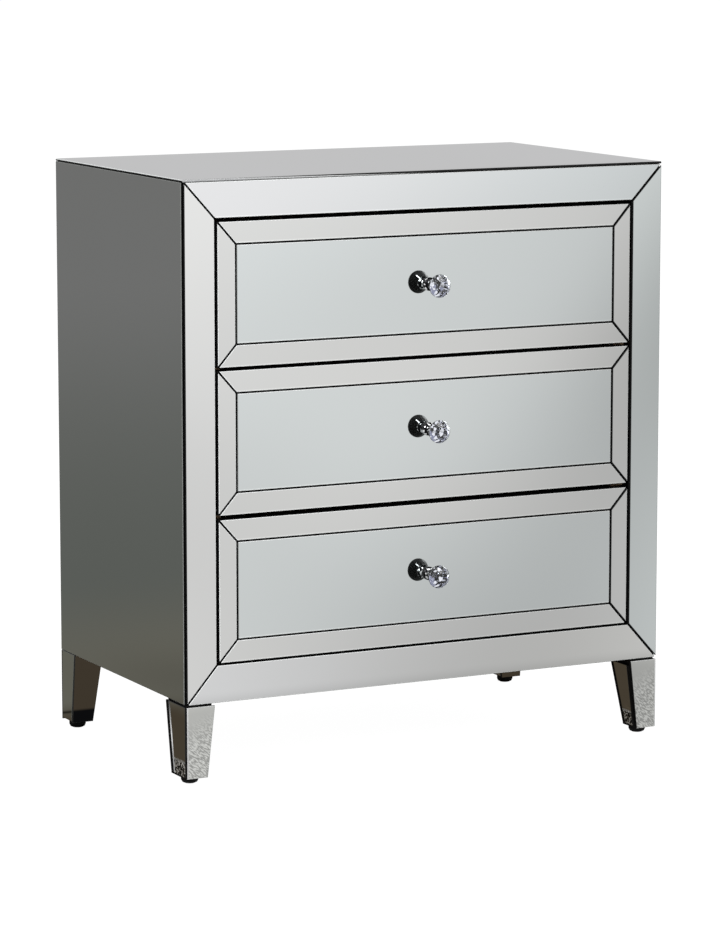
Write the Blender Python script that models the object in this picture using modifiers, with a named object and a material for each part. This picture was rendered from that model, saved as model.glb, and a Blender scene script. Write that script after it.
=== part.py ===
"""Chest of drawers with a black painted carcass, clad all over in mirror glass, on tapered legs.

Metres, Z up. The origin is on the floor under the middle of the whole chest, knobs included. The drawers
open towards -Y, and +X is on the right of someone who faces them.
"""
import math
from collections import namedtuple

import bmesh
import bpy
from mathutils import Vector

# Overall sizes, glass to glass, without the knobs
WIDTH = 0.711
DEPTH = 0.420
CASE_HEIGHT = 0.683
LEG_HEIGHT = 0.0985
GLIDE_HEIGHT = 0.0090

# Thickness of the glass and of the boards
GLASS = 0.003
SIDE_BOARD = 0.015
TOP_BOARD = 0.015
BOTTOM_BOARD = 0.015
FRAME_BOARD = 0.018
BACK_PANEL = 0.005
DRAWER_FRONT_BOARD = 0.015
DRAWER_BOX_BOARD = 0.012
DRAWER_BOTTOM_PANEL = 0.004

# Gaps: the glue line or seat between two pieces, and the black joints between panes
SEAT = 0.0003
MITRE_JOINT = 0.0020
CENTRE_JOINT = 0.0018
TOP_JOINT = 0.0004
LEFT_CORNER_REVEAL = 0.0020
RIGHT_CORNER_REVEAL = 0.0002
SIDE_PANE_REVEAL = 0.0025
GLASS_ARRIS = 0.0010
BOARD_ARRIS = 0.0005

# Front frame, measured from the outer faces of the case to the drawer opening
FRAME_SIDE = 0.0446
FRAME_TOP = 0.0505
FRAME_BOTTOM = 0.0493

# Drawers: their names, the gaps beside, above, between and below them, how much higher than halfway the
# middle one hangs, the widths of the border panes, and the box behind the front
DRAWER_NAMES = ("top_drawer", "middle_drawer", "bottom_drawer")
DRAWER_SIDE_GAP = 0.0040
DRAWER_CEILING_GAP = 0.0049
DRAWER_GAP = 0.0050
DRAWER_FLOOR_GAP = 0.0027
MIDDLE_DRAWER_RISE = 0.0007
BORDER_SIDE = 0.0253
BORDER_RISE = 0.0285
BOX_INSET = 0.0029
BOX_LIFT = 0.008
BOX_SIDE_HEIGHT = 0.150
BOTTOM_GROOVE_LIFT = 0.010
BOTTOM_GROOVE_DEPTH = 0.006

# Runners: an L profile under and beside each drawer side, with a stop at the back
RUNNER_THICKNESS = 0.014
RUNNER_BEARING = 0.010
RUNNER_GUIDE_HEIGHT = 0.020
RUNNER_SIDE_CLEARANCE = 0.001
STOP_LENGTH = 0.012

# Legs: outer sizes with their glass, at the top and at the foot. The front legs are deeper, with bare wood
# at the rear and a chamfer at the inner rear corner. A dowel joins each leg to the bottom board.
LEG_TOP_X = 0.042
LEG_FOOT_X = 0.031
FRONT_LEG_TOP_Y = 0.0640
FRONT_LEG_FOOT_Y = 0.0475
FRONT_LEG_CHAMFER = 0.0120
REAR_LEG_TOP_Y = 0.0500
REAR_LEG_FOOT_Y = 0.0380
DOWEL_RADIUS = 0.005
DOWEL_HEIGHT = 0.011
DOWEL_EDGE = 0.009

# Glides
GLIDE_RADIUS = 0.0115
GLIDE_ROUNDING = 0.0045
SPIGOT_RADIUS = 0.003
SPIGOT_HEIGHT = 0.010

# Knobs: chrome base with its screw, and the cut crystal
KNOB_FOOT_RADIUS = 0.0090
KNOB_FOOT_THICKNESS = 0.0018
KNOB_NECK_RADIUS = 0.0054
KNOB_CUP_RADIUS = 0.0088
KNOB_CUP_DEPTH = 0.0026
KNOB_CUP_ROUNDING = 0.0006
KNOB_BASE_LENGTH = 0.0170
SCREW_RADIUS = 0.0020
SCREW_CLEARANCE = 0.0005
SCREW_HEAD_RADIUS = 0.0042
SCREW_HEAD_THICKNESS = 0.0024
CRYSTAL_RADIUS = 0.0155
CRYSTAL_LENGTH = 0.0247
CRYSTAL_SIDES = 12
NECK_STEPS = 8
ROUND_STEPS = 32
CUTTER_OVERRUN = 0.010

# Rings of the cut crystal as shares: distance along it, radius, and turn as a part of one side
CRYSTAL_RING_SHARES = (
    (0.00, 0.54, 0.0),
    (0.20, 0.80, 0.5),
    (0.44, 0.985, 0.0),
    (0.52, 1.00, 0.5),
    (0.60, 0.985, 0.0),
    (0.83, 0.78, 0.5),
    (1.00, 0.48, 0.0),
)

# Levels and faces worked out from the sizes above
CASE_BOTTOM = GLIDE_HEIGHT + LEG_HEIGHT
CASE_TOP = CASE_BOTTOM + CASE_HEIGHT
KNOB_REACH = SEAT + KNOB_BASE_LENGTH + SEAT + CRYSTAL_LENGTH
FRONT = -(DEPTH - KNOB_REACH) / 2
BACK = FRONT + DEPTH
HALF_WIDTH = WIDTH / 2
BOARD_HALF = HALF_WIDTH - GLASS - SEAT
BOARD_FRONT = FRONT + GLASS + SEAT
BOARD_TOP = CASE_TOP - GLASS - SEAT
PANE_TOP = CASE_TOP - GLASS - TOP_JOINT
INNER_HALF = BOARD_HALF - SIDE_BOARD
FRAME_REAR = BOARD_FRONT + FRAME_BOARD
PANEL_FRONT = BACK - BACK_PANEL
OPENING_HALF = HALF_WIDTH - FRAME_SIDE
OPENING_LOW = CASE_BOTTOM + FRAME_BOTTOM
OPENING_HIGH = CASE_TOP - FRAME_TOP
DRAWERS_LOW = OPENING_LOW + DRAWER_FLOOR_GAP
DRAWERS_HIGH = OPENING_HIGH - DRAWER_CEILING_GAP
DRAWER_PITCH = (DRAWERS_HIGH - DRAWERS_LOW + DRAWER_GAP) / len(DRAWER_NAMES)
DRAWER_HEIGHT = DRAWER_PITCH - DRAWER_GAP
DRAWER_HALF = OPENING_HALF - DRAWER_SIDE_GAP
DRAWER_REAR = BOARD_FRONT + DRAWER_FRONT_BOARD
BOX_HALF = DRAWER_HALF - BOX_INSET
BOX_FRONT = DRAWER_REAR + SEAT
STOP_FRONT = PANEL_FRONT - SEAT - STOP_LENGTH
BOX_REAR = STOP_FRONT - SEAT

# A rectangle in the plane of the front, by how far it reaches to the left and right of the middle
Ring = namedtuple("Ring", "left right low high")


def clear_scene():
    """Removes what a new file holds."""
    for item in list(bpy.data.objects):
        bpy.data.objects.remove(item, do_unlink=True)


def new_collection(name):
    """A collection in the scene."""
    collection = bpy.data.collections.new(name)
    bpy.context.scene.collection.children.link(collection)
    return collection


def new_material(name, colour, roughness, metallic=0.0, transmission=0.0):
    """A plain finish."""
    material = bpy.data.materials.new(name)
    material.use_nodes = True
    shader = material.node_tree.nodes["Principled BSDF"]
    shader.inputs["Base Color"].default_value = (*colour, 1.0)
    shader.inputs["Roughness"].default_value = roughness
    shader.inputs["Metallic"].default_value = metallic
    shader.inputs["Transmission Weight"].default_value = transmission
    material.diffuse_color = (*colour, 1.0)
    return material


def place(name, mesh, location, material, parent=None):
    """Puts a mesh into the chest's collection."""
    piece = bpy.data.objects.new(name, mesh)
    piece.location = location
    piece.parent = parent
    mesh.materials.append(material)
    CHEST.objects.link(piece)
    return piece


def as_helper(piece):
    """Turns a piece into a guide for a Boolean, which is not part of the chest."""
    CHEST.objects.unlink(piece)
    CUTTERS.objects.link(piece)
    piece.hide_render = True
    piece.display_type = "WIRE"
    return piece


def add_arris(piece, width):
    """Takes the sharpness off the edges with a small chamfer."""
    bevel = piece.modifiers.new("Arris", "BEVEL")
    bevel.width = width
    bevel.segments = 1
    bevel.limit_method = "ANGLE"


def combine(piece, other, operation):
    """Cuts a helper out of a piece or joins it on."""
    boolean = piece.modifiers.new(other.name, "BOOLEAN")
    boolean.operation = operation
    boolean.object = other


def cuboid(name, low, high, material, parent=None, arris=0.0):
    """A board or pane between two opposite corners, with its origin in its middle."""
    low = Vector(low)
    high = Vector(high)
    mesh = bpy.data.meshes.new(name)
    shape = bmesh.new()
    bmesh.ops.create_cube(shape, size=1.0)
    bmesh.ops.scale(shape, vec=high - low, verts=shape.verts)
    shape.to_mesh(mesh)
    shape.free()
    piece = place(name, mesh, (low + high) / 2, material, parent)
    if arris:
        add_arris(piece, arris)
    return piece


def cylinder(name, radius, low, high, centre, material, parent=None):
    """An upright round bar from one level to another."""
    mesh = bpy.data.meshes.new(name)
    shape = bmesh.new()
    bmesh.ops.create_cone(
        shape, cap_ends=True, segments=ROUND_STEPS, radius1=radius, radius2=radius, depth=high - low
    )
    shape.to_mesh(mesh)
    shape.free()
    return place(name, mesh, (*centre, (low + high) / 2), material, parent)


def turned(name, profile, location, material, parent=None, forwards=False):
    """A turned piece from (radius, height) points that run down its outer side, top to bottom."""
    mesh = bpy.data.meshes.new(name)
    shape = bmesh.new()
    line = [shape.verts.new((radius, 0, height)) for radius, height in profile]
    for upper, lower in zip(line, line[1:]):
        shape.edges.new((upper, lower))
    shape.to_mesh(mesh)
    shape.free()
    piece = place(name, mesh, location, material, parent)
    if forwards:
        piece.rotation_euler.x = math.pi / 2
    screw = piece.modifiers.new("Turn", "SCREW")
    screw.steps = ROUND_STEPS
    screw.render_steps = ROUND_STEPS
    screw.use_merge_vertices = True
    screw.merge_threshold = SEAT / 10
    screw.use_smooth_shade = True
    return piece


def mitred_pane(name, side, outer, inner, front, parent=None):
    """One of the four panes between two rings, cut back at both ends for the joints at the mitres."""
    lies_flat = side in ("top", "bottom")
    pull_back = MITRE_JOINT / math.sqrt(2)
    mesh = bpy.data.meshes.new(name)
    shape = bmesh.new()
    bmesh.ops.create_cube(shape, size=1.0)
    for corner in shape.verts:
        left_or_right = math.copysign(1, corner.co.x)
        low_or_high = math.copysign(1, corner.co.z)
        outwards = {
            "top": low_or_high,
            "bottom": -low_or_high,
            "left": -left_or_right,
            "right": left_or_right,
        }
        ring = outer if outwards[side] > 0 else inner
        across = left_or_right if lies_flat else {"left": -1, "right": 1}[side]
        upwards = {"bottom": -1, "top": 1}[side] if lies_flat else low_or_high
        reach = ring.right if across > 0 else ring.left
        corner.co.x = across * (reach - (pull_back if lies_flat else 0))
        corner.co.z = ring.high if upwards > 0 else ring.low
        if not lies_flat:
            corner.co.z -= upwards * pull_back
        corner.co.y *= GLASS
    shape.to_mesh(mesh)
    shape.free()
    pane = place(name, mesh, (0, front + GLASS / 2, 0), MIRROR, parent)
    add_arris(pane, GLASS_ARRIS)
    return pane


def build_carcass():
    """The boards of the case: sides, top, bottom and back."""
    side_front = FRAME_REAR + SEAT
    side_rear = PANEL_FRONT - SEAT
    for name, side in (("left_side_board", -1), ("right_side_board", 1)):
        edges = sorted((side * INNER_HALF, side * BOARD_HALF))
        low = (edges[0], side_front, CASE_BOTTOM)
        high = (edges[1], side_rear, BOARD_TOP)
        cuboid(name, low, high, BLACK_PAINT, arris=BOARD_ARRIS)
    between = INNER_HALF - SEAT
    low = (-between, side_front, BOARD_TOP - TOP_BOARD)
    cuboid("top_board", low, (between, side_rear, BOARD_TOP), BLACK_PAINT, arris=BOARD_ARRIS)
    low = (-between, side_front, CASE_BOTTOM)
    high = (between, side_rear, CASE_BOTTOM + BOTTOM_BOARD)
    bottom = cuboid("bottom_board", low, high, BLACK_PAINT, arris=BOARD_ARRIS)
    for corner_name, across, along in leg_corners():
        hole = cylinder(
            corner_name + "_dowel_hole",
            DOWEL_RADIUS + SEAT,
            CASE_BOTTOM - CUTTER_OVERRUN,
            CASE_BOTTOM + DOWEL_HEIGHT + SEAT,
            dowel_centre(across, along),
            BLACK_PAINT,
        )
        combine(bottom, as_helper(hole), "DIFFERENCE")
    low = (-BOARD_HALF, PANEL_FRONT, CASE_BOTTOM)
    cuboid("back_panel", low, (BOARD_HALF, BACK, BOARD_TOP), BLACK_PAINT, arris=BOARD_ARRIS)


def build_front_frame():
    """Two stiles with two rails between them, behind the mirror strips."""
    for name, side in (("left_stile", -1), ("right_stile", 1)):
        edges = sorted((side * OPENING_HALF, side * BOARD_HALF))
        low = (edges[0], BOARD_FRONT, CASE_BOTTOM)
        cuboid(name, low, (edges[1], FRAME_REAR, BOARD_TOP), BLACK_PAINT, arris=BOARD_ARRIS)
    between = OPENING_HALF - SEAT
    for name, low_level, high_level in (
        ("top_rail", OPENING_HIGH, BOARD_TOP),
        ("bottom_rail", CASE_BOTTOM, OPENING_LOW),
    ):
        low = (-between, BOARD_FRONT, low_level)
        cuboid(name, low, (between, FRAME_REAR, high_level), BLACK_PAINT, arris=BOARD_ARRIS)


def build_case_glass():
    """The panes on the case: top, both sides and the mitred frame strips."""
    low = (-HALF_WIDTH, FRONT, CASE_TOP - GLASS)
    cuboid("top_glass", low, (HALF_WIDTH, BACK, CASE_TOP), MIRROR, arris=GLASS_ARRIS)
    for name, side in (("left_side_glass", -1), ("right_side_glass", 1)):
        edges = sorted((side * (HALF_WIDTH - GLASS), side * HALF_WIDTH))
        low = (edges[0], FRONT + GLASS + SIDE_PANE_REVEAL, CASE_BOTTOM)
        cuboid(name, low, (edges[1], BACK, PANE_TOP), MIRROR, arris=GLASS_ARRIS)
    outer = Ring(HALF_WIDTH - LEFT_CORNER_REVEAL, HALF_WIDTH - RIGHT_CORNER_REVEAL, CASE_BOTTOM, PANE_TOP)
    inner = Ring(OPENING_HALF, OPENING_HALF, OPENING_LOW, OPENING_HIGH)
    for side in ("top", "bottom", "left", "right"):
        mitred_pane("frame_glass_" + side, side, outer, inner, FRONT)


def leg_corners():
    """Names and directions of the four corners that the legs stand under."""
    return (
        ("front_left", -1, -1),
        ("front_right", 1, -1),
        ("rear_left", -1, 1),
        ("rear_right", 1, 1),
    )


def corner_point(across, along, inset_x, inset_y):
    """A point set in from one vertical corner of the case."""
    x = across * (HALF_WIDTH - inset_x)
    y = FRONT + inset_y if along < 0 else BACK - inset_y
    return x, y


def leg_depths(along):
    """Depth of a front or rear leg at its top and at its foot, glass included."""
    if along < 0:
        return FRONT_LEG_TOP_Y, FRONT_LEG_FOOT_Y
    return REAR_LEG_TOP_Y, REAR_LEG_FOOT_Y


def dowel_centre(across, along):
    """Centre of the dowel that holds a leg, near the inner corner of the leg's top."""
    cladding = GLASS + SEAT
    clear_depth = leg_depths(along)[0] - (FRONT_LEG_CHAMFER if along < 0 else 0)
    return corner_point(
        across, along, LEG_TOP_X - cladding - DOWEL_EDGE, clear_depth - cladding - DOWEL_EDGE
    )


def glide_centre(across, along):
    """Middle of a leg's foot."""
    return corner_point(across, along, LEG_FOOT_X / 2, leg_depths(along)[1] / 2)


def chamfer_front_leg(shape, across):
    """Planes off the inner rear corner of a front leg at 45 degrees, all the way down."""
    inset = GLASS + SEAT
    top = corner_point(across, -1, LEG_TOP_X - inset, FRONT_LEG_TOP_Y - FRONT_LEG_CHAMFER)
    foot = corner_point(across, -1, LEG_FOOT_X - inset, FRONT_LEG_FOOT_Y - FRONT_LEG_CHAMFER)
    start = Vector((*top, CASE_BOTTOM))
    down = Vector((*foot, GLIDE_HEIGHT)) - start
    slant = Vector((across, 1, 0))
    cut = bmesh.ops.bisect_plane(
        shape,
        geom=[*shape.verts, *shape.edges, *shape.faces],
        plane_co=start,
        plane_no=slant.cross(down) * across,
        clear_outer=True,
    )
    rim = [item for item in cut["geom_cut"] if isinstance(item, bmesh.types.BMEdge)]
    bmesh.ops.contextual_create(shape, geom=rim)
    bmesh.ops.recalc_face_normals(shape, faces=shape.faces)


def build_leg(corner_name, across, along):
    """A tapered core: its two outer faces are upright, its two inner faces lean in towards the foot."""
    name = "leg_" + corner_name
    cladding = GLASS + SEAT
    inner_cladding = 0 if along < 0 else cladding
    depth_top, depth_foot = leg_depths(along)
    low = GLIDE_HEIGHT + SEAT
    high = CASE_BOTTOM - SEAT
    mesh = bpy.data.meshes.new(name)
    shape = bmesh.new()
    bmesh.ops.create_cube(shape, size=1.0)
    for corner in shape.verts:
        is_top = corner.co.z > 0
        size_x, size_y = (LEG_TOP_X, depth_top) if is_top else (LEG_FOOT_X, depth_foot)
        inset_x = cladding if corner.co.x * across > 0 else size_x - cladding
        inset_y = cladding if corner.co.y * along > 0 else size_y - inner_cladding
        corner.co.x, corner.co.y = corner_point(across, along, inset_x, inset_y)
        corner.co.z = high if is_top else low
    if along < 0:
        chamfer_front_leg(shape, across)
    shape.to_mesh(mesh)
    shape.free()
    leg = place(name, mesh, (0, 0, 0), BLACK_PAINT)
    add_arris(leg, BOARD_ARRIS)
    dowel = cylinder(
        name + "_dowel",
        DOWEL_RADIUS,
        high - DOWEL_HEIGHT,
        CASE_BOTTOM + DOWEL_HEIGHT - SEAT,
        dowel_centre(across, along),
        BLACK_PAINT,
    )
    combine(leg, as_helper(dowel), "UNION")
    spigot_hole = cylinder(
        name + "_spigot_hole",
        SPIGOT_RADIUS + SEAT,
        low - CUTTER_OVERRUN,
        GLIDE_HEIGHT + SPIGOT_HEIGHT + SEAT,
        glide_centre(across, along),
        BLACK_PAINT,
    )
    combine(leg, as_helper(spigot_hole), "DIFFERENCE")


def build_glide(corner_name, across, along):
    """A plastic disc with a rounded rim and a spigot that plugs into the leg."""
    profile = (
        (0, GLIDE_HEIGHT + SPIGOT_HEIGHT),
        (SPIGOT_RADIUS, GLIDE_HEIGHT + SPIGOT_HEIGHT),
        (SPIGOT_RADIUS, GLIDE_HEIGHT),
        (GLIDE_RADIUS, GLIDE_HEIGHT),
        (GLIDE_RADIUS, GLIDE_ROUNDING),
        (GLIDE_RADIUS - GLIDE_ROUNDING / 3, GLIDE_ROUNDING / 3),
        (GLIDE_RADIUS - GLIDE_ROUNDING, 0),
        (0, 0),
    )
    turned("glide_" + corner_name, profile, (*glide_centre(across, along), 0), BLACK_PLASTIC)


def build_runners(drawer_name, level):
    """The left and right runner of one drawer, whose box side runs at the given level."""
    top = level - SEAT
    guide_inner = BOX_HALF + RUNNER_SIDE_CLEARANCE
    wall = INNER_HALF - SEAT
    rear = PANEL_FRONT - SEAT
    for side_name, side in (("left", -1), ("right", 1)):
        name = drawer_name + "_runner_" + side_name
        edges = sorted((side * (BOX_HALF - RUNNER_BEARING), side * wall))
        low = (edges[0], FRAME_REAR + SEAT, top - RUNNER_THICKNESS)
        runner = cuboid(name, low, (edges[1], rear, top + RUNNER_GUIDE_HEIGHT), RUNNER_WOOD)
        inner_end = side * (BOX_HALF - RUNNER_BEARING - CUTTER_OVERRUN)
        edges = sorted((inner_end, side * guide_inner))
        low = (edges[0], FRAME_REAR - CUTTER_OVERRUN, top)
        high = (edges[1], STOP_FRONT, top + RUNNER_GUIDE_HEIGHT + CUTTER_OVERRUN)
        combine(runner, as_helper(cuboid(name + "_rabbet", low, high, RUNNER_WOOD)), "DIFFERENCE")


def build_drawer_front(name, slide, screw_hole):
    """The front board with its centre mirror and mitred border, as seen from the slide's empty."""
    low = (-DRAWER_HALF, BOARD_FRONT, 0)
    high = (DRAWER_HALF, DRAWER_REAR, DRAWER_HEIGHT)
    board = cuboid(name + "_front_board", low, high, BLACK_PAINT, slide, BOARD_ARRIS)
    combine(board, screw_hole, "DIFFERENCE")
    outer = Ring(DRAWER_HALF, DRAWER_HALF, 0, DRAWER_HEIGHT)
    inner_half = DRAWER_HALF - BORDER_SIDE
    inner = Ring(inner_half, inner_half, BORDER_RISE, DRAWER_HEIGHT - BORDER_RISE)
    for side in ("top", "bottom", "left", "right"):
        mitred_pane(name + "_border_glass_" + side, side, outer, inner, FRONT, slide)
    centre_half = inner_half - CENTRE_JOINT
    low = (-centre_half, FRONT, inner.low + CENTRE_JOINT)
    high = (centre_half, FRONT + GLASS, inner.high - CENTRE_JOINT)
    glass = cuboid(name + "_centre_glass", low, high, MIRROR, slide, GLASS_ARRIS)
    combine(glass, screw_hole, "DIFFERENCE")
    return board


def build_drawer_box(name, slide, front_board):
    """Two sides and a back in one, with a groove that also runs in the front board for the bottom panel."""
    inner_half = BOX_HALF - DRAWER_BOX_BOARD
    inner_rear = BOX_REAR - DRAWER_BOX_BOARD
    top = BOX_LIFT + BOX_SIDE_HEIGHT
    low = (-BOX_HALF, BOX_FRONT, BOX_LIFT)
    box = cuboid(name + "_box", low, (BOX_HALF, BOX_REAR, top), BOX_WOOD, slide, BOARD_ARRIS)
    low = (-inner_half, BOX_FRONT - CUTTER_OVERRUN, BOX_LIFT - CUTTER_OVERRUN)
    high = (inner_half, inner_rear, top + CUTTER_OVERRUN)
    hollow = as_helper(cuboid(name + "_hollow", low, high, BOX_WOOD, slide))
    combine(box, hollow, "DIFFERENCE")
    panel_low = BOX_LIFT + BOTTOM_GROOVE_LIFT
    panel_front = DRAWER_REAR - BOTTOM_GROOVE_DEPTH
    low = Vector((-inner_half - BOTTOM_GROOVE_DEPTH, panel_front, panel_low))
    high = Vector((-low.x, inner_rear + BOTTOM_GROOVE_DEPTH, panel_low + DRAWER_BOTTOM_PANEL))
    cuboid(name + "_bottom_panel", low, high, PANEL_WOOD, slide)
    play = Vector((SEAT, SEAT, SEAT))
    groove = as_helper(cuboid(name + "_groove", low - play, high + play, BOX_WOOD, slide))
    combine(box, groove, "DIFFERENCE")
    combine(front_board, groove, "DIFFERENCE")


def neck_profile():
    """The hollow curve of the knob base between its cup and its foot, from the cup down."""
    upper = KNOB_BASE_LENGTH - KNOB_CUP_DEPTH
    lower = KNOB_FOOT_THICKNESS
    points = []
    for step in range(1, NECK_STEPS):
        share = step / NECK_STEPS
        end_radius = KNOB_CUP_RADIUS if share < 0.5 else KNOB_FOOT_RADIUS
        swell = abs(2 * share - 1) ** 3
        radius = KNOB_NECK_RADIUS + (end_radius - KNOB_NECK_RADIUS) * swell
        points.append((radius, upper + (lower - upper) * share))
    return points


def build_knob(name, slide, centre_level):
    """A chrome base, drawn together with the screw that holds it from behind, and a cut crystal."""
    grip = SEAT + GLASS + SEAT + DRAWER_FRONT_BOARD + SEAT
    profile = [
        (0, KNOB_BASE_LENGTH),
        (KNOB_CUP_RADIUS - KNOB_CUP_ROUNDING, KNOB_BASE_LENGTH),
        (KNOB_CUP_RADIUS, KNOB_BASE_LENGTH - KNOB_CUP_ROUNDING),
        (KNOB_CUP_RADIUS, KNOB_BASE_LENGTH - KNOB_CUP_DEPTH),
        *neck_profile(),
        (KNOB_FOOT_RADIUS, KNOB_FOOT_THICKNESS),
        (KNOB_FOOT_RADIUS, 0),
        (SCREW_RADIUS, 0),
        (SCREW_RADIUS, -grip),
        (SCREW_HEAD_RADIUS, -grip),
        (SCREW_HEAD_RADIUS, -grip - SCREW_HEAD_THICKNESS),
        (0, -grip - SCREW_HEAD_THICKNESS),
    ]
    foot = (0, FRONT - SEAT, centre_level)
    turned(name + "_knob_base", profile, foot, CHROME, slide, forwards=True)
    mesh = bpy.data.meshes.new(name + "_knob_crystal")
    shape = bmesh.new()
    step = 2 * math.pi / CRYSTAL_SIDES
    for along_share, radius_share, turn_share in CRYSTAL_RING_SHARES:
        radius = CRYSTAL_RADIUS * radius_share
        for side in range(CRYSTAL_SIDES):
            angle = step * (side + turn_share)
            along = CRYSTAL_LENGTH * along_share
            shape.verts.new((radius * math.cos(angle), radius * math.sin(angle), along))
    bmesh.ops.convex_hull(shape, input=shape.verts)
    bmesh.ops.recalc_face_normals(shape, faces=shape.faces)
    shape.to_mesh(mesh)
    shape.free()
    seat = (0, FRONT - SEAT - KNOB_BASE_LENGTH - SEAT, centre_level)
    crystal = place(name + "_knob_crystal", mesh, seat, CRYSTAL, slide)
    crystal.rotation_euler.x = math.pi / 2


def build_drawer(name, level):
    """One drawer on an empty at the level of its lower edge, which slides along -Y."""
    slide = bpy.data.objects.new(name + "_slide", None)
    slide.location = (0, 0, level)
    CHEST.objects.link(slide)
    screw_hole = cylinder(
        name + "_screw_hole",
        SCREW_RADIUS + SCREW_CLEARANCE,
        FRONT - CUTTER_OVERRUN,
        DRAWER_REAR + CUTTER_OVERRUN,
        (0, 0),
        BLACK_PAINT,
        slide,
    )
    screw_hole.location = (0, (FRONT + DRAWER_REAR) / 2, DRAWER_HEIGHT / 2)
    screw_hole.rotation_euler.x = math.pi / 2
    front_board = build_drawer_front(name, slide, as_helper(screw_hole))
    build_drawer_box(name, slide, front_board)
    build_knob(name, slide, DRAWER_HEIGHT / 2)


def build_chest():
    """The whole chest."""
    build_carcass()
    build_front_frame()
    build_case_glass()
    for corner_name, across, along in leg_corners():
        build_leg(corner_name, across, along)
        build_glide(corner_name, across, along)
    for place_from_top, name in enumerate(DRAWER_NAMES):
        level = DRAWERS_HIGH - DRAWER_HEIGHT - DRAWER_PITCH * place_from_top
        if name == "middle_drawer":
            level += MIDDLE_DRAWER_RISE
        build_drawer(name, level)
        build_runners(name, level + BOX_LIFT)


clear_scene()
CHEST = new_collection("mirrored_chest")
CUTTERS = new_collection("cutters")
MIRROR = new_material("mirror_glass", (0.78, 0.80, 0.80), 0.05, metallic=1.0)
BLACK_PAINT = new_material("black_paint", (0.012, 0.012, 0.012), 0.45)
RUNNER_WOOD = new_material("runner_wood", (0.55, 0.40, 0.24), 0.6)
BOX_WOOD = new_material("box_wood", (0.62, 0.49, 0.33), 0.55)
PANEL_WOOD = new_material("panel_wood", (0.48, 0.36, 0.24), 0.6)
CHROME = new_material("chrome", (0.80, 0.80, 0.82), 0.08, metallic=1.0)
CRYSTAL = new_material("crystal", (0.95, 0.96, 0.97), 0.02, transmission=1.0)
BLACK_PLASTIC = new_material("black_plastic", (0.02, 0.02, 0.02), 0.5)
build_chest()
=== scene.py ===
"""Looks of a mirrored dresser: a low chest with three drawers, clad in mirror glass.

The frame gives the boards, panes, drawers and knobs. This script adds the finishes, the mirror panes on the
legs, the screws of the back panel, the cut crystals of the knobs and the studio that the mirrors show.
Metres, Z up, the front towards -Y.
"""
import math
from collections import namedtuple

import bmesh
import bpy
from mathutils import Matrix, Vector


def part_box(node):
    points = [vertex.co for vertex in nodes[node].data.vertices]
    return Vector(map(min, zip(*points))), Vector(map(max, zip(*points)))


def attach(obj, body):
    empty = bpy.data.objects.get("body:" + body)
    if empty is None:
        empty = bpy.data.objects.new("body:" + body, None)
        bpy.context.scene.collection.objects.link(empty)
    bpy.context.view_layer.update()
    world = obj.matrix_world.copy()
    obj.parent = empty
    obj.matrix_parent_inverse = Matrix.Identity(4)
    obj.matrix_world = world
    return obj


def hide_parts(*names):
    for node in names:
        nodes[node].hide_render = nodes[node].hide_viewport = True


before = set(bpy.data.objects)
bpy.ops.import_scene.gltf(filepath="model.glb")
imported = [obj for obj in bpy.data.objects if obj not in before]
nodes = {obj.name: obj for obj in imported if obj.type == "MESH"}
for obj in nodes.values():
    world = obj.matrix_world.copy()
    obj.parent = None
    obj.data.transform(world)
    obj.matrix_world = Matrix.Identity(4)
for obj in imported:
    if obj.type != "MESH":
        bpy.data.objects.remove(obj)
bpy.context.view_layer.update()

DRAWERS = ("top_drawer", "middle_drawer", "bottom_drawer")
SIDES = ("top", "bottom", "left", "right")
LEGS = ("front_left", "front_right", "rear_left", "rear_right")
X, Y, Z = 0, 1, 2

# Places read from the frame
case_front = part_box("frame_glass_left")[0].y
case_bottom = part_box("left_side_glass")[0].z
case_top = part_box("top_glass")[1].z
half_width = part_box("right_side_glass")[1].x

# The camera stands in front of the chest and to its left, a little above its top
CAMERA_AIM = Vector((0.0044, 0.0212, 0.3720))
CAMERA_DISTANCE = 5.383
CAMERA_AZIMUTH = math.radians(-26.90)
CAMERA_ELEVATION = math.radians(8.68)
CAMERA_LENS = 151.8
CAMERA_SENSOR = 36.0
CAMERA_REACH = 60.0


def aim_at(thing, target):
    """Turns a camera or a lamp so that it looks at the target."""
    direction = Vector(target) - thing.location
    thing.rotation_euler = direction.to_track_quat("-Z", "Y").to_euler()


def add_camera():
    data = bpy.data.cameras.new("camera")
    data.sensor_width = CAMERA_SENSOR
    data.lens = CAMERA_LENS
    data.clip_end = CAMERA_REACH
    camera = bpy.data.objects.new("camera", data)
    bpy.context.scene.collection.objects.link(camera)
    away = Vector((
        math.sin(CAMERA_AZIMUTH) * math.cos(CAMERA_ELEVATION),
        -math.cos(CAMERA_AZIMUTH) * math.cos(CAMERA_ELEVATION),
        math.sin(CAMERA_ELEVATION),
    ))
    camera.location = CAMERA_AIM + CAMERA_DISTANCE * away
    aim_at(camera, CAMERA_AIM)
    bpy.context.scene.camera = camera


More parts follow.
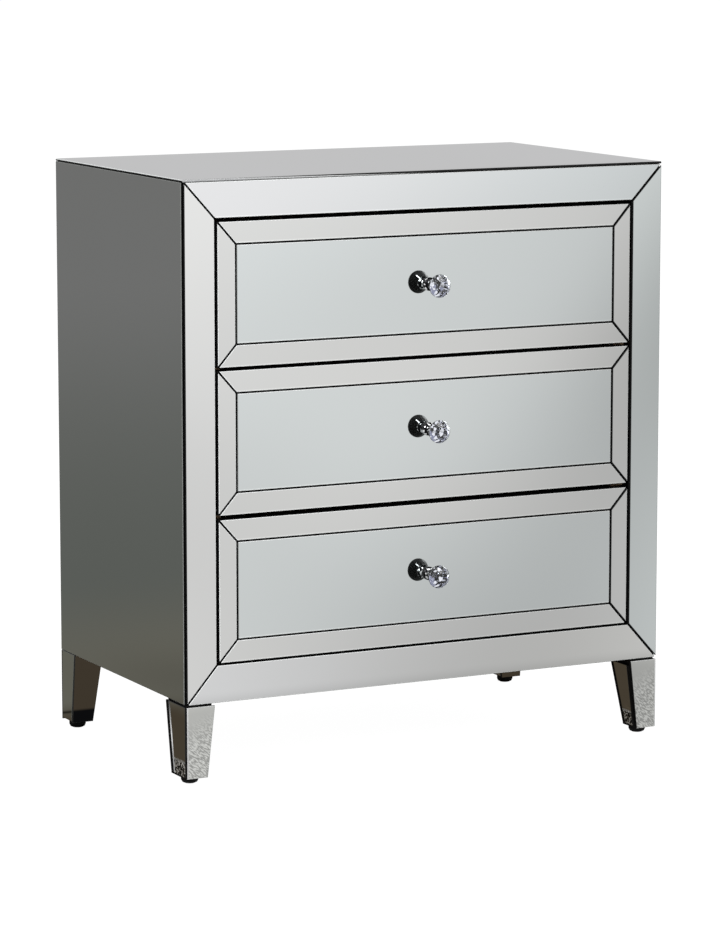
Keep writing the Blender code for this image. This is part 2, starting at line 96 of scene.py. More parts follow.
class Finish:
    """A node tree being wired by hand, with short ways to add the nodes it needs."""

    def __init__(self, tree):
        self.nodes = tree.nodes
        self.links = tree.links

    def node(self, kind, **inputs):
        """A new node. A number or colour is set on the named input, and a socket is linked to it."""
        made = self.nodes.new(kind)
        for name, value in inputs.items():
            self.feed(made.inputs[name.replace("_", " ")], value)
        return made

    def feed(self, socket, value):
        if isinstance(value, bpy.types.NodeSocket):
            self.links.new(value, socket)
        elif socket.type == "VECTOR":
            socket.default_value = value[:3]
        else:
            socket.default_value = value

    def ordered(self, kind, values):
        """A new node with numbers, colours or links on its inputs in their own order."""
        made = self.nodes.new(kind)
        for socket, value in zip(made.inputs, values):
            self.feed(socket, value)
        return made

    def maths(self, operation, *terms):
        made = self.ordered("ShaderNodeMath", terms)
        made.operation = operation
        return made.outputs[0]

    def vector(self, operation, *terms):
        made = self.ordered("ShaderNodeVectorMath", terms)
        made.operation = operation
        return made

    def scaled(self, colour, share):
        """A colour times a number."""
        made = self.vector("SCALE", colour)
        self.feed(made.inputs["Scale"], share)
        return made.outputs[0]

    def mix(self, share, first, second):
        """A colour between the first, at share 0, and the second, at share 1."""
        made = self.nodes.new("ShaderNodeMix")
        made.data_type = "RGBA"
        self.feed(made.inputs["Factor"], share)
        self.feed(made.inputs[6], first)
        self.feed(made.inputs[7], second)
        return made.outputs[2]

    def blend(self, share, first, second):
        """A number between the first, at share 0, and the second, at share 1."""
        made = self.nodes.new("ShaderNodeMix")
        self.feed(made.inputs["Factor"], share)
        self.feed(made.inputs[2], first)
        self.feed(made.inputs[3], second)
        return made.outputs[0]

    def steps(self, value, low, high, first=0.0, last=1.0):
        """A soft step: first where the value is under low, last where it is over high."""
        made = self.ordered("ShaderNodeMapRange", (value, low, high, first, last))
        made.interpolation_type = "SMOOTHSTEP"
        return made.outputs[0]

    def place(self):
        return self.node("ShaderNodeTexCoord").outputs["Object"]

    def stretched(self, place, scale):
        return self.node("ShaderNodeMapping", Vector=place, Scale=scale).outputs[0]

    def noise(self, place, scale, detail=2.0, roughness=0.5):
        made = self.node("ShaderNodeTexNoise", Vector=place, Scale=scale, Detail=detail, Roughness=roughness)
        return made.outputs[0]

    def grey(self, level):
        """A grey colour of a level that varies over the surface."""
        return self.node("ShaderNodeCombineXYZ", X=level, Y=level, Z=level).outputs[0]

    def split(self, vector):
        return self.node("ShaderNodeSeparateXYZ", Vector=vector).outputs

    def bump(self, height, distance):
        return self.node("ShaderNodeBump", Height=height, Distance=distance, Strength=1.0).outputs[0]


def new_finish(name, **fixed):
    """A material with its shader. Values that are the same all over go on the shader's own sockets."""
    material = bpy.data.materials.new(name)
    material.use_nodes = True
    finish = Finish(material.node_tree)
    finish.material = material
    finish.shader = finish.nodes["Principled BSDF"]
    for label, value in fixed.items():
        finish.shader.inputs[label.replace("_", " ")].default_value = value
    return finish


def drive(finish, label, socket):
    finish.links.new(socket, finish.shader.inputs[label])


def surface(finish, colour, roughness, height=None, depth=0.0):
    """Wires the shader's colour and roughness, and a bump where there is a height. Gives the material."""
    drive(finish, "Base Color", colour)
    drive(finish, "Roughness", roughness)
    if height is not None:
        drive(finish, "Normal", finish.bump(height, depth))
    return finish.material


# Levels that part a pane's face, its wide bevel, its arris and its edge by how far its surface leans
FACE_START = 0.97
BEVEL_START = 0.90
BEVEL_LEAN = 0.05
ARRIS_START = 0.40
# Only this outermost depth of an arris is painted pale, as a painted highlight. The rest of it is painted
# black, as painted shade in the joint.
PAINTED_LIT_RIM = 0.0006

# A painted highlight: the pale line along the lower edge of a front pane, and how much paler it is
PAINTED_HIGHLIGHT_LINE = 0.0023
PAINTED_HIGHLIGHT_SHARE = 1.16
# What the silver loses in its faintly tarnished clouds, by colour channel
TARNISH = (0.987, 0.984, 0.980, 1.0)
CLOUD_SCALE = 2.6
CLOUD_EDGE = (0.30, 0.70)
# The film of smudges on polished glass, and the roughness of glass that is only ground
SMUDGE_SCALE = 9.0
SMUDGE_EDGE = (0.45, 0.75)
FILM_ROUGHNESS = (0.012, 0.045)
GROUND_ROUGHNESS = 0.32
UPRIGHT_SMUDGES = (1, 1, 2.2)
LEVEL_SMUDGES = (1, 2.2, 1)
# Glass edges and black finishes that barely shine in the white studio
EDGE_SHINE = 0.10
BLACK_SHINE = 0.12


def tarnished(finish, place, silver):
    """The silver's tint with its faint clouds."""
    cloud = finish.steps(finish.noise(place, CLOUD_SCALE), *CLOUD_EDGE)
    return finish.vector("MULTIPLY", silver, finish.mix(cloud, TARNISH, WHITE)).outputs[0]


def polish(finish, place, stretch, on_face):
    """Smudges on the polished face, and satin on the ground rim beside it."""
    smudge = finish.noise(finish.stretched(place, stretch), SMUDGE_SCALE, 4.0, 0.6)
    film = finish.steps(smudge, *SMUDGE_EDGE, *FILM_ROUGHNESS)
    drive(finish, "Roughness", finish.blend(on_face, GROUND_ROUGHNESS, film))


def mirror_finish(name, axis, silver, arris, edge, level=None, silver_right=None, arris_right=None,
                  left_arris=None, right_arris=None, lower_edge=None, bevel=None, reflection_strokes=None, specks=False):
    """Mirror glass: a silvered face that looks along one axis, ground arrises and dark edges.

    silver is the tint of the mirror image, arris and edge the tones of the ground rim and of the pane's
    side. silver_right and arris_right are their tones at the chest's right end, as a painted reflection tint
    and painted shade. level is how far the face lies from the origin; deeper than a thin rim the arris is
    painted black, as painted shade in the joint. left_arris and right_arris are the tones, as painted shade,
    of arrises that look that way. lower_edge is the level of the pane's lower edge, along which runs a
    painted highlight line. bevel makes the tone of a wide bevel in painted light and shade, ripple the share
    of the tint that painted reflection strokes leave, and specks are a painted reflection of black and pale
    specks.
    """
    finish = new_finish(name, IOR=1.5, Specular_IOR_Level=EDGE_SHINE)
    coordinates = finish.node("ShaderNodeTexCoord")
    place = coordinates.outputs["Object"]
    x, y, z = finish.split(place)
    normal = finish.split(coordinates.outputs["Normal"])
    facing = finish.maths("ABSOLUTE", normal[axis])
    on_face = finish.maths("GREATER_THAN", facing, FACE_START)
    if bevel is not None:
        sideways = finish.maths("ABSOLUTE", normal[Y if axis == X else X])
        on_face = finish.maths("MULTIPLY", on_face, finish.maths("LESS_THAN", sideways, BEVEL_LEAN))
    across_chest = finish.steps(x, -half_width, half_width)

    # Painted shade: the rim grows dimmer from the chest's left end to its right
    if arris_right is not None:
        arris = finish.mix(across_chest, arris, arris_right)
    # Painted shade: arrises that look left or right take darker tones
    if left_arris is not None:
        leftward = finish.maths("LESS_THAN", normal[X], -ARRIS_START)
        arris = finish.mix(leftward, arris, left_arris)
    if right_arris is not None:
        rightward = finish.maths("GREATER_THAN", normal[X], ARRIS_START)
        arris = finish.mix(rightward, arris, right_arris)
    # Painted shade: deeper than the painted lit rim, the arris takes the black of the edge
    if level is not None:
        depth = finish.maths("SUBTRACT", level, finish.maths("ABSOLUTE", (x, y, z)[axis]))
        arris = finish.mix(finish.maths("LESS_THAN", depth, PAINTED_LIT_RIM), edge, arris)
    rim = finish.mix(finish.maths("GREATER_THAN", facing, ARRIS_START), edge, arris)
    if bevel is not None:
        on_bevel = finish.maths("GREATER_THAN", facing, BEVEL_START)
        on_bevel = finish.maths("SUBTRACT", on_bevel, on_face)
        rim = finish.mix(on_bevel, rim, bevel(finish, z))

    # Painted reflection tint: the silver changes from the chest's left end to its right
    if silver_right is not None:
        silver = finish.mix(across_chest, silver, silver_right)
    tint = tarnished(finish, place, silver)
    # Painted highlight: the tint is paler in a thin band over the lower edge
    if lower_edge is not None:
        near_edge = finish.maths("LESS_THAN", z, lower_edge + PAINTED_HIGHLIGHT_LINE)
        tint = finish.scaled(tint, finish.blend(near_edge, 1.0, PAINTED_HIGHLIGHT_SHARE))
    # Painted reflection strokes darken and lighten the tint
    if reflection_strokes is not None:
        tint = finish.scaled(tint, reflection_strokes(finish, place, x, z))
    metal = on_face
    # Painted reflection specks take the place of the silver near the foot
    if specks:
        tint, unspeckled = painted_reflection_specks(finish, tint, place, z)
        metal = finish.maths("MULTIPLY", on_face, unspeckled)
    drive(finish, "Base Color", finish.mix(on_face, rim, tint))
    drive(finish, "Metallic", metal)
    polish(finish, place, UPRIGHT_SMUDGES, on_face)
    return finish.material


# A painted reflection of the floor's pile on the front legs' front panes: strokes that grow downwards and
# towards the right
PAINTED_STROKE_SCALE = 700.0
PAINTED_STROKE_STRETCH = (1.0, 1.0, 0.30)
PAINTED_STROKE_TURN = math.radians(50)
PAINTED_STROKE_LEVELS = (0.098, 0.050)
PAINTED_STROKE_SLOPE = 0.45
PAINTED_STROKE_DEPTH = 0.56
STROKE_EDGE = (0.38, 0.62)
# A painted reflection of the floor near the foot of a leg's side pane: black and pale specks in place of the
# silver
SPECK_SCALE = 330.0
SPECK_LEVELS = (0.028, 0.034)
SPECK_PALE = (0.36, 0.345, 0.32, 1)
PALE_SPECK_EDGE = (0.57, 0.59)
BLACK_SPECK_EDGE = (0.49, 0.51)


def leg_painted_reflection(finish, place, x, z):
    """Painted reflection: short slanting strokes in the lower part of a front leg's front pane."""
    turned = finish.node("ShaderNodeMapping", Vector=place, Rotation=(0, PAINTED_STROKE_TURN, 0)).outputs[0]
    strokes = finish.noise(finish.stretched(turned, PAINTED_STROKE_STRETCH), PAINTED_STROKE_SCALE, 0.0)
    leg_middle = finish.maths("MULTIPLY", finish.maths("SIGN", x), half_width - LEG_MIDDLE)
    rightward = finish.maths("MULTIPLY", finish.maths("SUBTRACT", x, leg_middle), PAINTED_STROKE_SLOPE)
    height = finish.maths("SUBTRACT", z, rightward)
    depth = finish.steps(height, PAINTED_STROKE_LEVELS[1], PAINTED_STROKE_LEVELS[0], PAINTED_STROKE_DEPTH, 0.0)
    wave = finish.maths("MULTIPLY", finish.steps(strokes, *STROKE_EDGE, -0.5, 0.5), depth)
    return finish.maths("ADD", wave, 1.0)


def painted_reflection_specks(finish, tint, place, z):
    """Painted reflection: black and pale specks in place of the silver near the foot, and the share of silver
    left between them.
    """
    zone = finish.steps(z, *SPECK_LEVELS, 1.0, 0.0)
    flaw = finish.noise(place, SPECK_SCALE, 1.0)
    pale = finish.maths("MULTIPLY", finish.steps(flaw, *PALE_SPECK_EDGE), zone)
    black = finish.maths("MULTIPLY", finish.steps(flaw, *BLACK_SPECK_EDGE, 1.0, 0.0), zone)
    tint = finish.mix(black, finish.mix(pale, tint, SPECK_PALE), BLACK_EDGE)
    return tint, finish.maths("SUBTRACT", 1.0, finish.maths("MAXIMUM", pale, black))


# How deep the lit arris of the top pane is, painted pale, and the black wedge of painted shade on its front
# edge: where along the chest it grows, and its height there
TOP_PAINTED_LIT_RIM = 0.0010
TOP_SHADE_REACH = (-0.340, 0.110)
TOP_SHADE_HEIGHTS = (0.0001, 0.0034)


def top_finish():
    """The top pane: a silvered face, an arris painted pale as lit, and dark edges with a painted reflection
    low down in front and painted shade above it.
    """
    finish = new_finish("top mirror", IOR=1.5, Specular_IOR_Level=EDGE_SHINE)
    coordinates = finish.node("ShaderNodeTexCoord")
    place = coordinates.outputs["Object"]
    x, _, z = finish.split(place)
    normal = finish.split(coordinates.outputs["Normal"])
    on_face = finish.maths("GREATER_THAN", normal[Z], FACE_START)
    ahead = finish.maths("LESS_THAN", normal[Y], -ARRIS_START)
    behind = finish.maths("GREATER_THAN", normal[Y], ARRIS_START)
    depth = finish.maths("SUBTRACT", case_top, z)
    # Painted shade grows along the front edge over a painted reflection, and only a thin rim of the arris is
    # painted lit
    shade_height = finish.steps(x, *TOP_SHADE_REACH, *TOP_SHADE_HEIGHTS)
    below_shade = finish.mix(finish.steps(x, *TOP_SHADE_REACH), TOP_LEFT_EDGE, TOP_LOWER_EDGE)
    front_tone = finish.mix(finish.maths("GREATER_THAN", depth, shade_height), BLACK_EDGE, below_shade)
    arris = finish.mix(behind, TOP_ARRIS, TOP_REAR_ARRIS)
    painted_lit = finish.maths("LESS_THAN", depth, TOP_PAINTED_LIT_RIM)
    rim = finish.mix(ahead, finish.mix(painted_lit, BLACK_EDGE, arris), front_tone)
    drive(finish, "Base Color", finish.mix(on_face, rim, tarnished(finish, place, TOP_SILVER)))
    drive(finish, "Metallic", on_face)
    polish(finish, place, LEVEL_SMUDGES, on_face)
    return finish.material


# Tones of the wide bevel on a leg's outer front corner, a painted reflection, from the level where it starts
# to grow paler as painted light
CORNER_BEVEL_START = 0.07
CORNER_BEVEL_TONES = (0.50, 0.60)
# Tones of the wide bevel on a front leg's side pane, all painted: its darkest one, the painted light added
# halfway up, the level from which that fades into painted shade towards the case, and the levels between
# which it comes up over the foot
REAR_BEVEL_DARK = 0.09
REAR_BEVEL_PAINTED_LIGHT = 0.89
REAR_BEVEL_FADE = 0.055
REAR_BEVEL_FOOT = (0.028, 0.058)
REAR_BEVEL_FOOT_SHARE = 0.42


def corner_bevel(finish, height):
    """The wide bevel on a leg's outer front corner, painted grey as its reflection, a little paler near the
    case as painted light.
    """
    return finish.grey(finish.steps(height, CORNER_BEVEL_START, case_bottom, *CORNER_BEVEL_TONES))


def rear_bevel(finish, height):
    """The wide bevel along a front leg's side pane in painted light: painted shade under the case, and dim at
    the foot.
    """
    under_case = finish.steps(height, REAR_BEVEL_FADE, case_bottom, 1.0, 0.0)
    over_foot = finish.steps(height, *REAR_BEVEL_FOOT, REAR_BEVEL_FOOT_SHARE, 1.0)
    # Painted light halfway up, fading into painted shade under the case and dim over the foot
    light = finish.maths("MULTIPLY", finish.maths("MULTIPLY", under_case, over_foot), REAR_BEVEL_PAINTED_LIGHT)
    return finish.grey(finish.maths("ADD", light, REAR_BEVEL_DARK))


def paint_finish():
    """Black satin paint on the boards and leg cores, which shows as the dark joints between the panes."""
    finish = new_finish("black satin paint", IOR=1.45, Specular_IOR_Level=BLACK_SHINE)
    place = finish.place()
    grain = finish.noise(finish.stretched(place, (1.0, 1.0, 0.18)), 160.0, 4.0)
    fleck = finish.noise(place, 900.0, 2.0)
    tone = finish.mix(finish.steps(grain, 0.3, 0.7), (0.0015, 0.0015, 0.0016, 1), (0.0040, 0.0040, 0.0042, 1))
    return surface(finish, tone, finish.steps(fleck, 0.3, 0.7, 0.42, 0.60), grain, 0.00005)


WOOD_STRETCH = (1.0, 0.08, 1.0)


def wood_finish(name, light, dark, gloss):
    """Planed wood with its grain from front to back. gloss is the roughness of its smoothest fibres."""
    finish = new_finish(name, IOR=1.45)
    place = finish.stretched(finish.place(), WOOD_STRETCH)
    wander = finish.noise(place, 4.0, 3.0)
    rings = finish.node(
        "ShaderNodeTexWave", Vector=place, Scale=9.0, Distortion=7.0, Detail=3.0, Detail_Scale=1.4
    )
    fibre = finish.noise(place, 90.0, 5.0, 0.65)
    band = finish.blend(0.55, rings.outputs[1], wander)
    share = finish.blend(0.35, band, fibre)
    tone = finish.mix(finish.steps(share, 0.2, 0.8), dark, light)
    return surface(finish, tone, finish.steps(fibre, 0.3, 0.7, gloss, gloss + 0.14), fibre, 0.00012)


def hardboard_finish():
    """Brown hardboard of the back panel and the drawer bottoms: pressed fibres with fine dark flecks."""
    finish = new_finish("brown hardboard", IOR=1.45)
    place = finish.place()
    fibre = finish.noise(place, 420.0, 6.0, 0.7)
    blotch = finish.noise(place, 9.0, 3.0)
    share = finish.blend(0.4, finish.steps(fibre, 0.3, 0.7), blotch)
    tone = finish.mix(share, (0.115, 0.062, 0.030, 1), (0.235, 0.140, 0.074, 1))
    return surface(finish, tone, finish.steps(fibre, 0.3, 0.7, 0.50, 0.68), fibre, 0.00008)


def chrome_finish():
    """Chrome of the knob bases, painted almost black as a painted reflection of dark surroundings, with
    bright patches as painted highlights, and the faint turning marks of a lathe.
    """
    finish = new_finish("black chrome", Metallic=1.0)
    place = finish.place()
    marks = finish.noise(finish.stretched(place, (0.2, 1.0, 0.2)), 900.0, 2.0)
    haze = finish.noise(place, 160.0, 3.0)
    dark = finish.mix(haze, (0.006, 0.006, 0.007, 1), (0.012, 0.012, 0.013, 1))
    # Painted highlights: bright patches on the almost black painted reflection
    painted_highlight = finish.steps(finish.noise(place, 260.0, 0.0), 0.61, 0.65)
    tone = finish.mix(painted_highlight, dark, (0.85, 0.86, 0.87, 1))
    return surface(finish, tone, finish.steps(haze, 0.35, 0.75, 0.05, 0.10), marks, 0.000008)


def plastic_finish():
    """Moulded black plastic of the glides, with a fine spark-eroded texture."""
    finish = new_finish("black moulded plastic", IOR=1.46, Specular_IOR_Level=BLACK_SHINE)
    place = finish.place()
    pits = finish.noise(place, 1500.0, 3.0, 0.6)
    wear = finish.noise(place, 130.0, 3.0)
    tone = finish.mix(wear, (0.0025, 0.0025, 0.0028, 1), (0.0060, 0.0060, 0.0065, 1))
    return surface(finish, tone, finish.steps(wear, 0.3, 0.7, 0.38, 0.55), pits, 0.00004)


def crystal_finish():
    """Lead crystal, cut and polished, with the least trace of blue."""
    finish = new_finish("cut crystal", Transmission_Weight=1.0, IOR=1.56, Specular_IOR_Level=0.2)
    place = finish.place()
    haze = finish.noise(place, 220.0, 2.0)
    tone = finish.mix(haze, (0.93, 0.95, 0.985, 1), (0.97, 0.98, 1.0, 1))
    return surface(finish, tone, finish.steps(haze, 0.55, 0.9, 0.0, 0.02))


def backed_finish(name, seen_inside, mirror_inside):
    """A rear facet of the crystal: black lacquer from outside, foil or bare lacquer through the glass."""
    finish = new_finish(name, IOR=1.5, Specular_IOR_Level=0.08)
    inside = finish.node("ShaderNodeNewGeometry").outputs["Backfacing"]
    haze = finish.noise(finish.place(), 300.0, 2.0)
    lacquer = finish.mix(haze, (0.003, 0.003, 0.003, 1), (0.007, 0.007, 0.007, 1))
    drive(finish, "Metallic", finish.maths("MULTIPLY", inside, mirror_inside))
    return surface(finish, finish.mix(inside, lacquer, seen_inside), finish.blend(inside, 0.30, 0.02))


def foil_finish():
    """Silver foil where the lacquer has worn off a ridge of the crystal."""
    finish = new_finish("bare silver foil", Metallic=1.0)
    haze = finish.noise(finish.place(), 300.0, 2.0)
    tone = finish.mix(haze, (0.84, 0.85, 0.87, 1), (0.92, 0.93, 0.95, 1))
    return surface(finish, tone, finish.steps(haze, 0.3, 0.7, 0.10, 0.25))


def give(node, material):
    """Every slot of a node's own mesh gets the material."""
    thing = nodes[node]
    if not thing.material_slots:
        thing.data.materials.append(material)
    for slot in thing.material_slots:
        slot.material = material


# Tints of the mirror image, and tones of the ground rims
# Each frame strip has one at its left end and one, or none, at its right end. The change between them is a
# painted reflection tint and painted shade.
FRAME_SILVERS_WITH_PAINTED_TINTS = {
    "top": ((0.800, 0.804, 0.815, 1), (0.745, 0.785, 0.792, 1)),
    "bottom": ((0.800, 0.808, 0.815, 1), (0.805, 0.806, 0.785, 1)),
    "left": ((0.790, 0.794, 0.787, 1), None),
    "right": ((0.755, 0.800, 0.796, 1), None),
}
BORDER_SILVER = (0.776, 0.782, 0.772)
CENTRE_SILVER = (0.752, 0.790, 0.790)
# The upper drawers' mirrors are darker copies of the same silver: painted shade
DRAWER_PAINTED_SHADE_SHARES = {"top_drawer": 0.94, "middle_drawer": 0.98, "bottom_drawer": 1.0}
SIDE_SILVER = (0.800, 0.808, 0.795, 1)
TOP_SILVER = (0.800, 0.804, 0.806, 1)
GROUND_RIM = (0.90, 0.92, 0.915, 1)
# The legs' silver is a darker copy of the case's, and the rear legs' darker still: painted shade
LEG_SHADED_SILVER = (0.768, 0.777, 0.750, 1)
REAR_LEG_SHADED_SILVER = (0.645, 0.640, 0.625, 1)
# DIM_RIM, DARK_RIM and LEG_DIM_RIM are dimmer copies of the ground rim: painted shade on arrises that look
# sideways or lie in a joint
DIM_RIM = (0.25, 0.26, 0.25, 1)
DARK_RIM = (0.10, 0.105, 0.10, 1)
BLACK_EDGE = (0.006, 0.006, 0.006, 1)
# A dimmer copy of the ground rim as painted shade, at the chest's right end and on the legs' front panes
PAINTED_SHADE_RIM = (0.56, 0.57, 0.56, 1)
LEG_DIM_RIM = (0.030, 0.030, 0.029, 1)
# Top pane rim tones, all painted: front arris, a dimmer rear arris as painted shade, and the painted
# reflection along the front edge, darker at its left end
TOP_ARRIS = (0.60, 0.615, 0.61, 1)
TOP_REAR_ARRIS = (0.30, 0.31, 0.305, 1)
TOP_LEFT_EDGE = (0.38, 0.385, 0.39, 1)
TOP_LOWER_EDGE = (0.78, 0.79, 0.785, 1)
# Painted shade: the left arrises of a drawer's right border and centre pane are darkened in their joints
DRAWER_LEFT_ARRIS_SHADES = {"right": BLACK_EDGE, "centre": DIM_RIM}
WHITE = (1.0, 1.0, 1.0, 1)


def dress_case():
    front_level = abs(case_front)
    for side in SIDES:
        silver, silver_right = FRAME_SILVERS_WITH_PAINTED_TINTS[side]
        strip = "frame_glass_" + side
        give(strip, mirror_finish(
            side + " frame mirror", Y, silver, GROUND_RIM, BLACK_EDGE, front_level,
            silver_right=silver_right,
            arris_right=PAINTED_SHADE_RIM,
            left_arris=BLACK_EDGE if side in ("left", "right") else None,
            right_arris=BLACK_EDGE if side == "right" else None,
            lower_edge=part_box(strip)[0].z if side == "top" else None,
        ))
    sides = mirror_finish("side mirror", X, SIDE_SILVER, DIM_RIM, BLACK_EDGE, half_width)
    give("left_side_glass", sides)
    give("right_side_glass", sides)
    give("top_glass", top_finish())
    paint = paint_finish()
    for board in ("left_side", "right_side", "top", "bottom"):
        give(board + "_board", paint)
    for rail in ("left_stile", "right_stile", "top_rail", "bottom_rail"):
        give(rail, paint)
    plastic = plastic_finish()
    for leg in LEGS:
        give("leg_" + leg, paint)
        give("glide_" + leg, plastic)
    hardboard = hardboard_finish()
    give("back_panel", hardboard)
    runner = wood_finish("beech runner", (0.52, 0.36, 0.22, 1), (0.40, 0.26, 0.15, 1), 0.44)
    for drawer in DRAWERS:
        give(drawer + "_runner_left", runner)
        give(drawer + "_runner_right", runner)
    return paint, hardboard


def dress_drawers(paint, hardboard):
    front_level = abs(case_front)
    box_wood = wood_finish("poplar drawer side", (0.62, 0.50, 0.35, 1), (0.50, 0.38, 0.24, 1), 0.50)
    chrome = chrome_finish()
    for drawer in DRAWERS:
        # Painted shade: darker silver on the upper drawers
        share = DRAWER_PAINTED_SHADE_SHARES[drawer]
        border_silver = tuple(share * channel for channel in BORDER_SILVER) + (1,)
        centre_silver = tuple(share * channel for channel in CENTRE_SILVER) + (1,)
        panes = [(side, drawer + "_border_glass_" + side, border_silver) for side in SIDES]
        panes.append(("centre", drawer + "_centre_glass", centre_silver))
        for side, pane, silver in panes:
            give(pane, mirror_finish(
                pane.replace("_", " "), Y, silver, GROUND_RIM, BLACK_EDGE, front_level,
                arris_right=PAINTED_SHADE_RIM,
                left_arris=DRAWER_LEFT_ARRIS_SHADES.get(side),
                lower_edge=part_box(pane)[0].z if side in ("top", "bottom", "centre") else None,
            ))
        give(drawer + "_front_board", paint)
        give(drawer + "_box", box_wood)
        give(drawer + "_bottom_panel", hardboard)
        give(drawer + "_knob_base", chrome)


def start_piece():
    """Leaves edit mode behind and nothing selected, so that an operator acts only on what comes next."""
    if bpy.context.object and bpy.context.object.mode != "OBJECT":
        bpy.ops.object.mode_set(mode="OBJECT")
    bpy.ops.object.select_all(action="DESELECT")


def pick(thing, kind, wanted):
    """In edit mode, selects the faces or the corners, by kind FACE or VERT, for which wanted is true."""
    bpy.ops.mesh.select_all(action="DESELECT")
    bpy.ops.mesh.select_mode(type=kind)
    shape = bmesh.from_edit_mesh(thing.data)
    for item in shape.faces if kind == "FACE" else shape.verts:
        item.select = wanted(item)
    shape.select_flush_mode()
    bmesh.update_edit_mesh(thing.data)


def box_blank(centre, size):
    start_piece()
    bpy.ops.mesh.primitive_cube_add(size=1, location=centre)
    bpy.ops.transform.resize(value=size)
    bpy.ops.object.transform_apply(location=True, rotation=True, scale=True)
    return bpy.context.object


def round_blank(centre, sides, radius, length):
    """A cylinder along Y."""
    start_piece()
    bpy.ops.mesh.primitive_cylinder_add(
        vertices=sides, radius=radius, depth=length, location=centre, rotation=(math.radians(90), 0, 0)
    )
    bpy.ops.object.transform_apply(location=True, rotation=True, scale=True)
    return bpy.context.object


def finish_piece(thing, name, material, body):
    """Applies the piece's place to its mesh, shades it flat, and lets it ride."""
    bpy.ops.object.mode_set(mode="OBJECT")
    thing.name = name
    thing.data.name = name
    bpy.ops.object.transform_apply(location=True, rotation=True, scale=True)
    thing.data.shade_flat()
    thing.data.materials.clear()
    thing.data.materials.append(material)
    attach(thing, body)


# Mirror panes on the legs
LEG_GLASS = 0.0030
LEG_SEAT = 0.0003
LEG_LEFT_REVEAL = 0.0012
LEG_TOP_MARGIN = 0.0030
REAR_LEG_TOP_MARGIN = 0.0004
LEG_INNER_TOP_MARGIN = 0.0096
LEG_FRONT_FOOT_MARGIN = 0.0003
LEG_SIDE_FOOT_MARGIN = 0.0020
LEG_SPAN_MARGIN = 0.0010
LEG_ARRIS = 0.0006
LEG_MIDDLE = 0.0210
# The black wood that an X pane leaves bare beside a leg's outer Y face and beside its inner one
PANE_BLACK = {
    ("front", "outer"): (0.0004, 0.0067),
    ("front", "inner"): (0.0060, 0.0185),
    ("rear", "outer"): (0.0004, 0.0004),
    ("rear", "inner"): (0.0004, 0.0004),
}
# Where the chamfer at a front leg's inner rear corner starts
LEG_CHAMFER = 0.0120
# Width and depth of two wide bevels: along the outer corner of an outer Y pane, and along the rear edge of a
# front leg's outer X pane
CORNER_BEVEL = (0.0022, 0.0006)
REAR_BEVEL = (0.0056, 0.0005)
BEVEL_REACH = 0.0001


def core_span(leg, low, high):
    """Lowest and highest corner of the part of a leg's core that lies between two levels."""
    points = [point.co for point in nodes["leg_" + leg].data.vertices if low <= point.co.z <= high]
    first = Vector([min(point[axis] for point in points) for axis in (X, Y, Z)])
    last = Vector([max(point[axis] for point in points) for axis in (X, Y, Z)])
    return first, last


LegFace = namedtuple(
    "LegFace",
    "name row side axis across looks reach wall outer_wall inner_wall foot_level",
)


def leg_face(leg, axis, side):
    """One face of a leg's core: which way it looks, its place, and those of its outer and inner neighbour.

    A place is a pair: the one at the foot and the one at the top. looks and reach are 1 or -1, the way that
    the face looks and the way from the leg's middle to the outer neighbour.
    """
    foot_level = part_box("leg_" + leg)[0].z
    foot = core_span(leg, foot_level, foot_level + LEG_SPAN_MARGIN)
    top = core_span(leg, case_bottom - LEG_SPAN_MARGIN, case_bottom - LEG_SEAT / 2)
    outward = (-1 if "left" in leg else 1, -1 if "front" in leg else 1)
    across = Y if axis == X else X

    def wall(way, which):
        corner = 1 if (outward[way] > 0) == (which == "outer") else 0
        return foot[corner][way], top[corner][way]

    return LegFace(
        name=leg + "_" + side + "_" + ("x" if axis == X else "y"),
        row="front" if "front" in leg else "rear",
        side=side,
        axis=axis,
        across=across,
        looks=outward[axis] if side == "outer" else -outward[axis],
        reach=outward[across],
        wall=wall(axis, side),
        outer_wall=wall(across, "outer"),
        inner_wall=wall(across, "inner"),
        foot_level=foot_level,
    )


def moved(line, distance):
    """A line given by its places at the foot and at the top, moved by a distance."""
    return [end + distance for end in line]


def direction_of(axis, way):
    direction = Vector()
    direction[axis] = way
    return direction


def cut_bevel(pane, face, line, levels, sizes):
    """Slopes the strip of a pane's face that lies along one of its upright or tapered edges.

    line holds the edge's place at the foot and at the top, and sizes the bevel's width and depth.
    """
    width, depth = sizes
    points = [point.co for point in pane.data.vertices]
    inward = 1 if sum(point[face.across] for point in points) / len(points) > line[1] else -1
    halfway = sum(point[face.axis] for point in points) / len(points)
    ends = []
    for place, level in zip(line, levels):
        end = points[0].copy()
        end[face.across] = place + inward * width
        end.z = level
        ends.append(end)
    foot_end, top_end = ends
    outward = (top_end - foot_end).cross(direction_of(face.axis, face.looks)).normalized()
    if outward[face.across] * inward > 0:
        outward = -outward
    bpy.ops.object.mode_set(mode="EDIT")
    bpy.ops.mesh.select_all(action="SELECT")
    bpy.ops.mesh.bisect(plane_co=foot_end, plane_no=outward)
    pick(pane, "VERT", lambda point: (point.co - foot_end).dot(outward) > BEVEL_REACH
         and face.looks * (point.co[face.axis] - halfway) > 0)
    bpy.ops.transform.translate(value=direction_of(face.axis, -face.looks * depth))
    bpy.ops.object.mode_set(mode="OBJECT")


